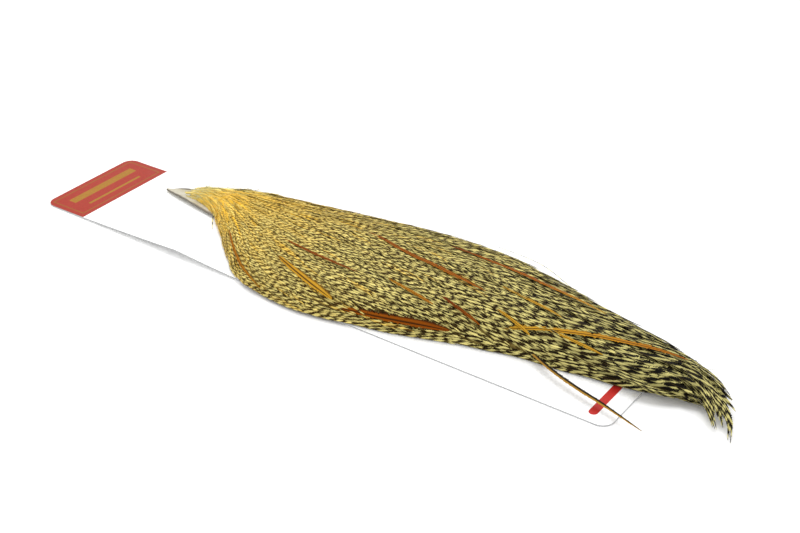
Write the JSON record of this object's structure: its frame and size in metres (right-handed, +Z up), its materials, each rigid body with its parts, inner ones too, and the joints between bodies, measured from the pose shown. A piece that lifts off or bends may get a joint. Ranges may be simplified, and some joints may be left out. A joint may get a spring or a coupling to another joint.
{
  "type": "rooster neck cape",
  "caption": "Rooster half neck cape: dried skin with long barred cream and brown hackles and stray russet ones, lying along a narrow creased backing card.",
  "frame": {"origin": "centre of the card's underside, which lies on the surface", "axes": "+X along the cape from its head end to its hackle tips, +Y across it to the far side, +Z up"},
  "size_m": [0.3873, 0.0998, 0.0227],
  "materials": {
    "card": "coated white paperboard with a soft sheen, with a red head panel and a red foot bar",
    "skin": "dried grey-beige parchment",
    "barred_plumage": "glossy cream hackles barred with brown-black, golden buff at the crown",
    "russet_hackle": "glossy russet to ginger hackles",
    "stray_hackle": "glossy black-brown hackle with a tan edge"
  },
  "bodies": {
    "root": {"backing_card": "card", "neck_skin": "skin", "hackle_plumage": "barred_plumage", "russet_hackle_1": "russet_hackle", "russet_hackle_2": "russet_hackle", "russet_hackle_3": "russet_hackle", "russet_hackle_4": "russet_hackle", "russet_hackle_5": "russet_hackle", "russet_hackle_6": "russet_hackle", "russet_hackle_7": "russet_hackle", "stray_hackle": "stray_hackle"}
  },
  "joints": []
}
